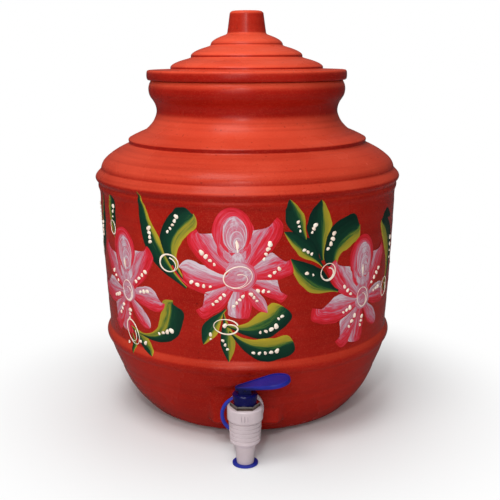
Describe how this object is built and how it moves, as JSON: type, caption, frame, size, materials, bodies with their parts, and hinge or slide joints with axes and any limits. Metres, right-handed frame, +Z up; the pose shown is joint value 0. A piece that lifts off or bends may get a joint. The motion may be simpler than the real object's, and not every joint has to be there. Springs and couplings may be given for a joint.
{
  "type": "clay water pot with tap",
  "caption": "Round clay water pot with a stepped lift-off lid, a low press-lever tap and a tethered spout cap.",
  "frame": {"origin": "centre of the flat face that the pot stands on", "axes": "+Z up along the pot's own axis, -Y out through the tap, +X to the right of someone facing the tap"},
  "size_m": [0.2996, 0.3261, 0.39],
  "materials": {
    "terracotta": "unglazed fired clay, hand-burnished, with painted flowers",
    "white_plastic": "glossy white moulding",
    "washer_rubber": "black rubber",
    "chrome": "bright plated hexagon",
    "dark_blue_plastic": "glossy dark blue moulding",
    "blue_plastic": "glossy blue moulding",
    "stem_plastic": "smooth blue moulding",
    "seal_silicone": "soft white silicone",
    "steel": "drawn stainless wire",
    "blue_silicone": "bright blue soft silicone"
  },
  "bodies": {
    "pot": {"pot_body": "terracotta", "tap_body": "white_plastic", "outer_washer": "washer_rubber", "inner_washer": "washer_rubber", "tail_nut": "white_plastic", "gland_nut": "chrome", "bonnet": "dark_blue_plastic", "stem_seal": "washer_rubber", "return_spring": "steel", "cap_tether": "blue_silicone"},
    "lid": {"lid": "terracotta"},
    "seal": {"valve_seal": "seal_silicone"},
    "stem": {"valve_stem": "stem_plastic"},
    "lever": {"lever": "blue_plastic", "lever_pin": "steel"},
    "cap": {"spout_cap": "blue_silicone"}
  },
  "joints": [
    {"name": "lid_lift", "type": "slide", "parent": "pot", "child": "lid", "axis": [0, 0, 1], "range_m": [0, 0.12]},
    {"name": "valve_lift", "type": "slide", "parent": "pot", "child": "seal", "axis": [0, 0, 1], "range_m": [0, 0.0024], "deforming": ["return_spring"]},
    {"name": "lever_swivel", "type": "hinge", "parent": "seal", "child": "stem", "pos_m": [0, -0.1605, 0.05], "axis": [0, 0, 1], "range_deg": [-188, 2]},
    {"name": "lever_tilt", "type": "hinge", "parent": "stem", "child": "lever", "pos_m": [0, -0.1605, 0.0692], "axis": [-0.0523, 0.9986, 0], "range_deg": [0, 25], "stiffness_Nm_per_rad": 0.023, "springref_deg": -1.43},
    {"name": "cap_pull", "type": "slide", "parent": "pot", "child": "cap", "axis": [0, 0, -1], "range_m": [0, 0.008], "deforming": ["cap_tether"]}
  ],
  "couplings": [
    {"joint": "valve_lift", "follows": "lever_tilt", "m_per_rad": 0.0054}
  ]
}
